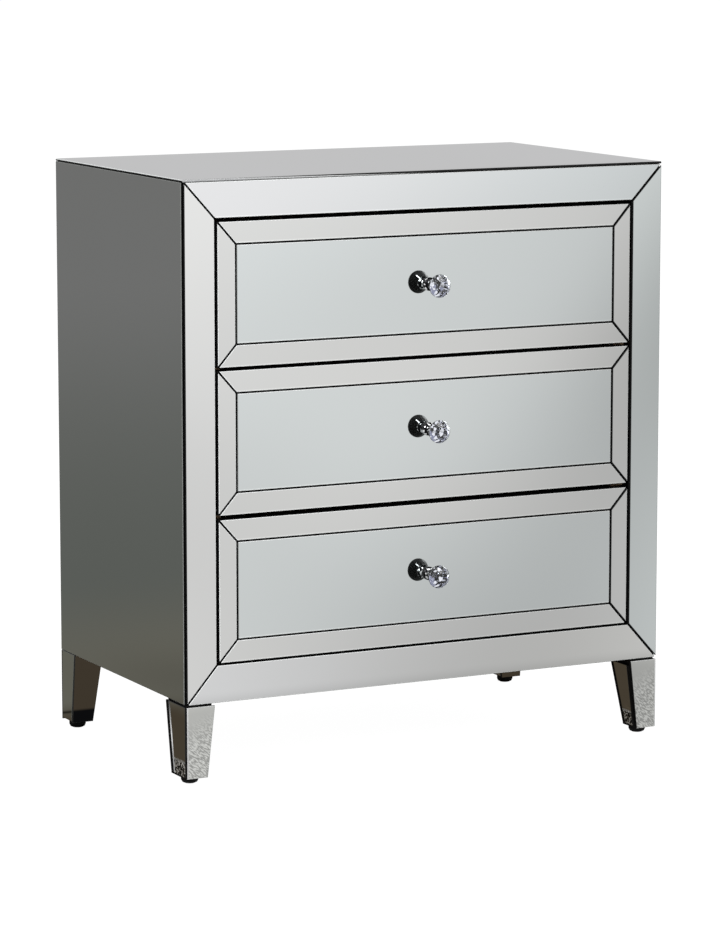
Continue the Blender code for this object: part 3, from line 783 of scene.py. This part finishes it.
def tapered_slab(face, wall, first, last, low, high):
    """A slab as thick as the glass on one face of a leg's core, a seat's width off the wood.

    wall holds the place of the core's face at the foot and at the top, and first and last those of the
    slab's two upright or tapered edges.
    """
    middle = (low + high) / 2
    half = (first[1] + last[1]) / 2
    centre = Vector((0, 0, middle))
    centre[face.axis] = wall[1] + face.looks * (LEG_SEAT + LEG_GLASS / 2)
    centre[face.across] = half
    size = Vector((0, 0, high - low))
    size[face.axis] = LEG_GLASS
    size[face.across] = abs(first[1] - last[1])
    slab = box_blank(centre, size)
    bpy.ops.object.mode_set(mode="EDIT")

    # The lower corners move with the taper of the core
    pick(slab, "VERT", lambda point: point.co.z < middle)
    bpy.ops.transform.translate(value=direction_of(face.axis, wall[0] - wall[1]))
    for edge in (first, last):
        past_half = edge[1] > half
        pick(slab, "VERT", lambda point: point.co.z < middle
             and (point.co[face.across] > half) == past_half)
        bpy.ops.transform.translate(value=direction_of(face.across, edge[0] - edge[1]))
    bpy.ops.object.mode_set(mode="OBJECT")
    return slab


def grind_rim(pane, face):
    """The ground rim round a pane's face."""
    facing = direction_of(face.axis, face.looks)
    bpy.ops.object.mode_set(mode="EDIT")
    pick(pane, "FACE", lambda part: part.normal.dot(facing) > BEVEL_START)
    bpy.ops.mesh.bevel(offset=LEG_ARRIS, offset_type="OFFSET", segments=1, affect="EDGES")
    bpy.ops.object.mode_set(mode="OBJECT")


def pane_outline(face):
    """Places of a pane's outer and inner edge, each at the foot and at the top, and its two levels."""
    top_margin = LEG_TOP_MARGIN if face.row == "front" else REAR_LEG_TOP_MARGIN
    if face.axis == Y:
        past_sides = face.reach * (LEG_SEAT + LEG_GLASS)
        first = moved(face.outer_wall, past_sides)
        last = moved(face.inner_wall, -past_sides)
        if face.row == "front" and face.reach < 0:
            first = moved(first, LEG_LEFT_REVEAL)
        elif face.row == "front":
            last = moved(last, LEG_LEFT_REVEAL)
        return first, last, face.foot_level + LEG_FRONT_FOOT_MARGIN, case_bottom - top_margin
    by_outer, by_inner = PANE_BLACK[face.row, face.side]
    first = moved(face.outer_wall, -face.reach * (by_outer - LEG_SEAT))
    last = moved(face.inner_wall, face.reach * by_inner)
    if face.side == "inner":
        top_margin = LEG_INNER_TOP_MARGIN
    return first, last, face.foot_level + LEG_SIDE_FOOT_MARGIN, case_bottom - top_margin


def build_pane(face, material):
    """One mirror pane on a leg."""
    first, last, low, high = pane_outline(face)
    pane = tapered_slab(face, face.wall, first, last, low, high)
    grind_rim(pane, face)
    if face.side == "outer" and face.axis == Y:
        cut_bevel(pane, face, first, (low, high), CORNER_BEVEL)
    if face.side == "outer" and face.axis == X and face.row == "front":
        cut_bevel(pane, face, last, (low, high), REAR_BEVEL)
    finish_piece(pane, "leg_glass_" + face.name, material, "case")


def build_strips(face, paint):
    """Flush black strips beside an X pane: behind it, before it on a leg's inner side, and along the foot.

    The strip along the foot is too low for the taper to count.
    """
    first, last, low, high = pane_outline(face)
    start = moved(face.outer_wall, -face.reach * LEG_SEAT)
    end = moved(face.inner_wall, face.reach * (LEG_CHAMFER if face.side == "inner" else 0))
    strips = [(face.wall, moved(last, -face.reach * LEG_SEAT), end, low, high)]
    if face.side == "inner":
        strips.append((face.wall, start, moved(first, face.reach * LEG_SEAT), low, high))
    foot_lines = [(line[0], line[0]) for line in (face.wall, start, end)]
    strips.append((*foot_lines, face.foot_level + LEG_FRONT_FOOT_MARGIN, low - LEG_SEAT))
    for number, shape in enumerate(strips):
        strip = tapered_slab(face, *shape)
        finish_piece(strip, "leg_strip_" + face.name + "_" + str(number), paint, "case")


def build_leg_panes(paint):
    """Three panes on a front leg, whose rear face is bare wood, and four on a rear leg."""
    front = mirror_finish(
        "leg front mirror", Y, LEG_SHADED_SILVER, PAINTED_SHADE_RIM, BLACK_EDGE,
        left_arris=BLACK_EDGE, right_arris=DIM_RIM, bevel=corner_bevel, reflection_strokes=leg_painted_reflection,
    )
    front_side = mirror_finish(
        "leg side mirror", X, LEG_SHADED_SILVER, LEG_DIM_RIM, BLACK_EDGE, bevel=rear_bevel, specks=True
    )
    rear = mirror_finish("rear leg front mirror", Y, REAR_LEG_SHADED_SILVER, LEG_DIM_RIM, BLACK_EDGE)
    rear_side = mirror_finish("rear leg side mirror", X, LEG_SHADED_SILVER, DARK_RIM, BLACK_EDGE)
    for leg in LEGS:
        ahead = "front" in leg
        build_pane(leg_face(leg, Y, "outer"), front if ahead else rear)
        if not ahead:
            build_pane(leg_face(leg, Y, "inner"), rear)
        for side in ("outer", "inner"):
            face = leg_face(leg, X, side)
            build_pane(face, front_side if ahead else rear_side)
            if ahead:
                build_strips(face, paint)


# Countersunk screws round the edge of the back panel, with a cross recess in each head
SCREW_HEAD_RADIUS = 0.0036
SCREW_HEAD_HEIGHT = 0.0006
SCREW_HEAD_SIDES = 24
SCREW_RIM = 0.0003
RECESS_LENGTH = 0.0042
RECESS_WIDTH = 0.0009
RECESS_DEPTH = 0.0005
SCREW_EDGE_DISTANCE = 0.0090
SCREWS_ACROSS = 4
SCREWS_UP = 5


def zinc_finish():
    """Zinc plated steel of the screws, with a faint yellow chromate haze."""
    finish = new_finish("zinc plated steel", Metallic=1.0)
    haze = finish.noise(finish.place(), 700.0, 3.0)
    tone = finish.mix(haze, (0.42, 0.41, 0.37, 1), (0.62, 0.62, 0.60, 1))
    return surface(finish, tone, finish.steps(haze, 0.3, 0.7, 0.28, 0.44), haze, 0.00002)


def screw_places(low, high):
    """Places along the edge of a rectangle in X and Z, evenly spaced and each once."""
    places = []
    for column in range(SCREWS_ACROSS):
        x = low.x + (high.x - low.x) * column / (SCREWS_ACROSS - 1)
        for row in range(SCREWS_UP):
            z = low.z + (high.z - low.z) * row / (SCREWS_UP - 1)
            if column in (0, SCREWS_ACROSS - 1) or row in (0, SCREWS_UP - 1):
                places.append((x, z))
    return places


def build_back_screws():
    """One screw head is modelled, then copied round the edge of the back panel, all as one piece."""
    low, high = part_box("back_panel")
    seat = high.y
    inset = Vector((SCREW_EDGE_DISTANCE, 0, SCREW_EDGE_DISTANCE))
    places = screw_places(low + inset, high - inset)
    first = Vector((places[0][0], seat + SCREW_HEAD_HEIGHT / 2, places[0][1]))
    screws = round_blank(first, SCREW_HEAD_SIDES, SCREW_HEAD_RADIUS, SCREW_HEAD_HEIGHT)
    bpy.ops.object.mode_set(mode="EDIT")
    pick(screws, "FACE", lambda part: part.normal.y > ARRIS_START)
    bpy.ops.mesh.bevel(offset=SCREW_RIM, offset_type="OFFSET", segments=3, affect="EDGES")
    bpy.ops.object.mode_set(mode="OBJECT")
    for length, width in ((RECESS_LENGTH, RECESS_WIDTH), (RECESS_WIDTH, RECESS_LENGTH)):
        cutter = box_blank((first.x, seat + SCREW_HEAD_HEIGHT, first.z), (length, 2 * RECESS_DEPTH, width))
        bpy.context.view_layer.objects.active = screws
        cut = screws.modifiers.new("recess", "BOOLEAN")
        cut.object = cutter
        bpy.ops.object.modifier_apply(modifier="recess")
        bpy.data.objects.remove(cutter)

    # One head becomes all of them
    start_piece()
    screws.select_set(True)
    bpy.context.view_layer.objects.active = screws
    for x, z in places[1:]:
        head = screws.copy()
        head.data = screws.data.copy()
        bpy.context.scene.collection.objects.link(head)
        head.location = (x - first.x, 0, z - first.z)
        head.select_set(True)
    bpy.ops.object.join()
    finish_piece(screws, "back_panel_screws", zinc_finish(), "case")


# Cut crystals, in ten folds round the axis. Each ring of facets is given by the facets in a fold, their turn
# as a share of a fold, the radius share and length share of a point on a facet, and the degrees by which a
# facet leans to the front.
CRYSTAL_FOLD = 10
CRYSTAL_CUT_SHARES = (
    (1, 0.00, 0.970, 0.60, 38.7),
    (1, 0.50, 0.437, 1.00, 45.6),
    (2, 0.25, 0.988, 0.54, 25.8),
    (1, 0.00, 0.965, 0.40, -36.0),
    (2, 0.25, 0.988, 0.46, -29.0),
    (1, 0.50, 0.990, 0.50, 0.0),
    (1, 0.50, 1.001, 0.40, -37.4),
)
CRYSTAL_BLANK_SIDES = 60
CRYSTAL_REAR_LEAN = 0.2
CRYSTAL_MERGE = 0.00002
CRYSTAL_FLATNESS = math.radians(0.5)
# Coats on the rear facets, as places in a knob's list of materials, after the clear crystal
LACQUERED_FOIL, BLACK_LACQUER, BARE_FOIL = 1, 2, 3
# The ridge between two folds, as shares of a fold. One ridge is worn bare, and of the other facets one in
# LACQUER_STEP is lacquered.
RIDGE = (0.4, 0.6)
WORN_RIDGE = 3
LACQUER_STEP = 4


def backing(turn, on_girdle):
    """Which coat a rear facet or one on the girdle has, by its place round the axis as a share of a turn."""
    if on_girdle:
        return BLACK_LACQUER
    if RIDGE[0] < turn * CRYSTAL_FOLD % 1 < RIDGE[1]:
        return BARE_FOIL if int(turn * CRYSTAL_FOLD) == WORN_RIDGE else BLACK_LACQUER
    return BLACK_LACQUER if int(turn * 2 * CRYSTAL_FOLD) % LACQUER_STEP == 0 else LACQUERED_FOIL


def build_crystal(drawer, clear, coats):
    """A crystal knob, ground from a round blank one facet at a time."""
    low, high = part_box(drawer + "_knob_crystal")
    radius = (high.z - low.z) / 2
    length = high.y - low.y
    middle = (low + high) / 2
    knob = round_blank(middle, CRYSTAL_BLANK_SIDES, radius, length)
    bpy.ops.object.mode_set(mode="EDIT")
    seat = Vector((middle.x, high.y, middle.z))
    for per_fold, turn, radius_share, length_share, lean in CRYSTAL_CUT_SHARES:
        count = CRYSTAL_FOLD * per_fold
        for step in range(count):
            angle = 2 * math.pi * (step / count + turn / CRYSTAL_FOLD)
            spoke = Vector((math.cos(angle), 0, math.sin(angle)))
            point = seat + spoke * radius * radius_share - Vector((0, length * length_share, 0))
            slope = math.radians(lean)
            normal = spoke * math.cos(slope) - Vector((0, math.sin(slope), 0))
            bpy.ops.mesh.select_all(action="SELECT")
            bpy.ops.mesh.bisect(plane_co=point, plane_no=normal, use_fill=True, clear_outer=True)
    bpy.ops.mesh.select_all(action="SELECT")
    bpy.ops.mesh.remove_doubles(threshold=CRYSTAL_MERGE)
    bpy.ops.mesh.dissolve_limited(angle_limit=CRYSTAL_FLATNESS)
    bpy.ops.mesh.normals_make_consistent(inside=False)
    finish_piece(knob, drawer + "_cut_crystal", clear, drawer)
    for coat in coats:
        knob.data.materials.append(coat)
    for face in knob.data.polygons:
        on_girdle = abs(face.normal.y) < CRYSTAL_REAR_LEAN
        if on_girdle or face.normal.y > CRYSTAL_REAR_LEAN:
            spoke = face.center - middle
            turn = math.atan2(spoke.z, spoke.x) / (2 * math.pi) % 1.0
            face.material_index = backing(turn, on_girdle)
    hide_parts(drawer + "_knob_crystal")


# The studio that the mirrors show. Each soft shade on the floor is given by a point on its middle line, the
# direction across it in degrees, its half width, its half length and its depth.
FLOOR_SHADES = (
    ((0.78, -4.87), 7.9, 0.55, 14.0, 0.125),
    ((2.90, -4.14), 35.1, 0.342, 9.0, 0.378),
    ((7.00, -10.3), 37.8, 0.97, 12.0, 0.236),
)
REAR_SHADES = (
    ((-0.397, 0.305), 0.0, 0.050, 0.009, 0.80),
    ((-0.660, 0.420), 0.0, 0.160, 0.220, 0.19),
)
# The black painted shadow that the rear left leg shows over its foot, by the places where its edges start and
# end
FOOT_SHADOW_X = ((-0.365, -0.355), (-0.22, -0.20))
FOOT_SHADOW_Y = ((0.130, 0.140), (0.20, 0.21))
# Shares and reaches of the reflected floor, in metres along Y, or outwards from the chest's sides
# Where the painted shade close before the chest starts and ends, and what it leaves of the tone
NEAR_FRONT = (-0.72, -0.58)
NEAR_FRONT_SHARE = 0.74
CLOSE_FRONT = (-0.47, -0.40)
CLOSE_FRONT_GRAIN = 0.9
RIGHT_OF_CORNER = (-0.43, -0.40)
REAR_MIDDLE_REACH = (0.5, 1.3)
REAR_FAR_REACH = (0.9, 5.7)
UNDER_SIDES = (0.16, 0.26)
UNDER_BACK = (0.24, 0.38)
LEG_GRAIN_REACH = (-0.10, -0.04)
LEG_GRAIN = 2.4
# Where the pale front floor ends and the rear tones begin, and how fast that change widens beside the chest
FRONT_END = -0.18
REAR_START = -0.14
CHANGE_WIDENING = 0.35
FLOOR_SPECK_STRETCH = (1.0, 0.2, 1.0)
FLOOR_SPECK_SCALE = 200.0
FLOOR_SIZE = 60.0
FLOOR_DROP = 0.0003
FLOOR_PALE = (0.80, 0.80, 0.80, 1)
FLOOR_FAINT = (0.12, 0.12, 0.12, 1)
FLOOR_GLOW = 0.985
REAR_NEAR = (0.150, 0.146, 0.122, 1)
REAR_MIDDLE = (0.122, 0.130, 0.120, 1)
REAR_FAR = (0.188, 0.189, 0.188, 1)
# Brown painted shadow on the floor under the chest
UNDER_CHEST_PAINTED_SHADOW = (0.072, 0.057, 0.040, 1)
# The far wall that mirrors show, low down behind the chest, by how far a direction points back and up
WALL_TONE = (0.57, 0.57, 0.575, 1)
WALL_REARWARD = (0.15, 0.55)
WALL_LOW = (0.30, 0.70)
WORLD_LIGHT = 0.40
# The crystals alone show bright panels in a lavender room, and a floor of black and white patches
PANEL_SCALE = 3.4
PANEL_EDGE = (0.54, 0.58)
ROOM_TONE = (0.30, 0.31, 0.40, 1)
ROOM_REARWARD = (0.10, 0.20)
PATCH_SCALE = 4.0
PATCH_EDGE = (0.53, 0.55)
PATCH_DARK = (0.006, 0.006, 0.007, 1)
LAMPS = (
    ("key softbox", (-2.8, -3.4, 2.9), (2.2, 2.2), 120),
    ("fill softbox", (3.2, -2.6, 2.0), (2.0, 2.0), 60),
    ("top softbox", (0.0, 0.3, 3.4), (2.4, 2.4), 60),
)
LAMP_AIM = (0, 0, 0.35)


def shade_share(finish, place, shade):
    """How deep one soft shade is at a place on the floor."""
    (point_x, point_y), direction, half_width_across, half_length, depth = shade
    turn = math.radians(direction)
    offset = finish.vector("SUBTRACT", place, (point_x, point_y, 0)).outputs[0]
    across = (math.cos(turn) / half_width_across, math.sin(turn) / half_width_across, 0)
    along = (-math.sin(turn) / half_length, math.cos(turn) / half_length, 0)
    squares = 0.0
    for scale in (across, along):
        distance = finish.vector("DOT_PRODUCT", offset, scale).outputs["Value"]
        squares = finish.maths("ADD", finish.maths("MULTIPLY", distance, distance), squares)
    fade = finish.maths("EXPONENT", finish.maths("MULTIPLY", squares, -1.0))
    return finish.maths("MULTIPLY", fade, depth)


def shaded(finish, place, shades):
    """What the soft shades leave of the floor's tone."""
    share = 1.0
    for shade in shades:
        share = finish.maths("SUBTRACT", share, shade_share(finish, place, shade))
    return finish.maths("MAXIMUM", share, 0.0)


def painted_foot_shadow(finish, x, y):
    """Share of the black painted shadow that the rear left leg shows over its foot."""
    share = 1.0
    for value, (start, end) in ((x, FOOT_SHADOW_X), (y, FOOT_SHADOW_Y)):
        share = finish.maths("MULTIPLY", finish.steps(value, *start), share)
        share = finish.maths("MULTIPLY", finish.steps(value, *end, 1.0, 0.0), share)
    return share


def front_floor(finish, place, x, y, speck):
    """Tone of the floor before the chest: pale, with soft shades and a painted shade close before the chest,
    and grainy close to the front legs.
    """
    front = shaded(finish, place, FLOOR_SHADES)
    # Painted shade on the floor close before the chest
    front = finish.maths("MULTIPLY", front, finish.steps(y, *NEAR_FRONT, 1.0, NEAR_FRONT_SHARE))
    close = finish.steps(y, *CLOSE_FRONT, 0.0, CLOSE_FRONT_GRAIN)
    close = finish.maths("MULTIPLY", close, finish.steps(x, *RIGHT_OF_CORNER))
    grain = finish.maths("MULTIPLY", speck, close)
    return finish.grey(finish.maths("MULTIPLY", front, finish.maths("ADD", grain, 1.0)))


def rear_floor(finish, place, x, y, beside, speck):
    """Tone of the floor beside and behind the chest: grey, with a brown painted shadow under it."""
    rear = finish.mix(finish.steps(y, *REAR_MIDDLE_REACH), REAR_NEAR, REAR_MIDDLE)
    rear = finish.mix(finish.steps(y, *REAR_FAR_REACH), rear, REAR_FAR)
    # Painted shadow: the floor turns brown under the chest
    near_side = finish.steps(beside, *UNDER_SIDES, 1.0, 0.0)
    near_back = finish.steps(y, *UNDER_BACK, 1.0, 0.0)
    rear = finish.mix(finish.maths("MULTIPLY", near_side, near_back), rear, UNDER_CHEST_PAINTED_SHADOW)
    grain = finish.maths("MULTIPLY", speck, finish.steps(y, *LEG_GRAIN_REACH, LEG_GRAIN, 0.0))
    share = finish.maths("MULTIPLY", finish.maths("ADD", grain, 1.0), shaded(finish, place, REAR_SHADES))
    rear = finish.vector("MULTIPLY", rear, finish.grey(share)).outputs[0]
    # Painted shadow over the rear left foot
    return finish.mix(painted_foot_shadow(finish, x, y), rear, PATCH_DARK)


def reflected_floor(finish):
    """Tone of the floor as mirrors show it: pale in front, grey behind, and a brown painted shadow under the
    chest.
    """
    place = finish.place()
    x, y = finish.split(place)[:2]
    grain = finish.noise(finish.stretched(place, FLOOR_SPECK_STRETCH), FLOOR_SPECK_SCALE, 3.0, 0.7)
    speck = finish.maths("SUBTRACT", grain, 0.5)
    beside = finish.maths("SUBTRACT", finish.maths("ABSOLUTE", x), half_width)
    widen = finish.maths("MULTIPLY", finish.maths("MAXIMUM", beside, 0.0), CHANGE_WIDENING)
    start = finish.maths("SUBTRACT", FRONT_END, widen)
    end = finish.maths("ADD", REAR_START, widen)
    front = front_floor(finish, place, x, y, speck)
    rear = rear_floor(finish, place, x, y, beside, speck)
    return finish.mix(finish.steps(y, start, end), front, rear)


def add_floor():
    """A floor that is white for the camera, pale for the light it throws back, and toned in the mirrors."""
    start_piece()
    bpy.ops.mesh.primitive_plane_add(size=FLOOR_SIZE, location=(0, 0, -FLOOR_DROP))
    floor = bpy.context.object
    floor.name = "studio_floor"
    material = bpy.data.materials.new("studio floor")
    material.use_nodes = True
    material.cycles.emission_sampling = "NONE"
    finish = Finish(material.node_tree)
    finish.nodes.remove(finish.nodes["Principled BSDF"])
    rays = finish.node("ShaderNodeLightPath").outputs
    pale = finish.node("ShaderNodeBsdfDiffuse", Color=FLOOR_PALE).outputs[0]
    faint = finish.node("ShaderNodeBsdfDiffuse", Color=FLOOR_FAINT).outputs[0]
    glow = finish.node("ShaderNodeEmission", Color=WHITE, Strength=FLOOR_GLOW).outputs[0]
    seen = finish.ordered("ShaderNodeAddShader", (faint, glow)).outputs[0]
    patch = finish.steps(finish.noise(finish.place(), PATCH_SCALE, 0.0), *PATCH_EDGE)
    patches = finish.mix(patch, PATCH_DARK, WHITE)
    floor_tone = finish.mix(rays["Is Transmission Ray"], reflected_floor(finish), patches)
    mirrored = finish.node("ShaderNodeEmission", Color=floor_tone, Strength=1.0).outputs[0]
    through = finish.maths("MAXIMUM", rays["Is Glossy Ray"], rays["Is Transmission Ray"])
    unseen = finish.ordered("ShaderNodeMixShader", (through, pale, mirrored)).outputs[0]
    shown = finish.ordered("ShaderNodeMixShader", (rays["Is Camera Ray"], unseen, seen)).outputs[0]
    finish.links.new(shown, finish.nodes["Material Output"].inputs["Surface"])
    floor.data.materials.append(material)


def add_world():
    """White behind the chest, a plain level of light, and in mirrors a white studio with a grey far wall."""
    world = bpy.data.worlds.new("studio")
    world.use_nodes = True
    bpy.context.scene.world = world
    finish = Finish(world.node_tree)
    rays = finish.node("ShaderNodeLightPath").outputs
    direction = finish.node("ShaderNodeTexCoord").outputs["Generated"]
    _, y, z = finish.split(direction)
    low_wall = finish.maths("MULTIPLY", finish.steps(y, *WALL_REARWARD), finish.steps(z, *WALL_LOW, 1.0, 0.0))
    mirrored = finish.mix(low_wall, WHITE, WALL_TONE)
    panel = finish.noise(direction, PANEL_SCALE, 0.0)
    room = finish.mix(finish.steps(panel, *PANEL_EDGE), ROOM_TONE, WHITE)
    inside = finish.mix(finish.steps(y, *ROOM_REARWARD), room, WHITE)
    mirrored = finish.mix(rays["Is Transmission Ray"], mirrored, inside)
    tone = finish.mix(rays["Is Camera Ray"], mirrored, WHITE)
    shown = finish.maths("MAXIMUM", rays["Is Camera Ray"], rays["Is Transmission Ray"])
    shown = finish.maths("MAXIMUM", shown, rays["Is Glossy Ray"])
    background = finish.nodes["Background"]
    finish.feed(background.inputs["Color"], finish.mix(shown, WHITE, tone))
    finish.feed(background.inputs["Strength"], finish.blend(shown, WORLD_LIGHT, 1.0))


def add_lamp(name, place, size, power):
    data = bpy.data.lights.new(name, "AREA")
    data.shape = "RECTANGLE"
    data.size, data.size_y = size
    data.energy = power
    lamp = bpy.data.objects.new(name, data)
    bpy.context.scene.collection.objects.link(lamp)
    lamp.location = place
    aim_at(lamp, LAMP_AIM)


add_camera()
black_paint, pressed_board = dress_case()
dress_drawers(black_paint, pressed_board)
build_leg_panes(black_paint)
build_back_screws()
clear_crystal = crystal_finish()
knob_coats = (
    backed_finish("lacquered silver foil", (0.90, 0.91, 0.96, 1), 1.0),
    backed_finish("black lacquer", (0.003, 0.003, 0.004, 1), 0.0),
    foil_finish(),
)
for drawer in DRAWERS:
    build_crystal(drawer, clear_crystal, knob_coats)
add_floor()
add_world()
for lamp in LAMPS:
    add_lamp(*lamp)
bpy.context.scene.view_settings.view_transform = "Standard"
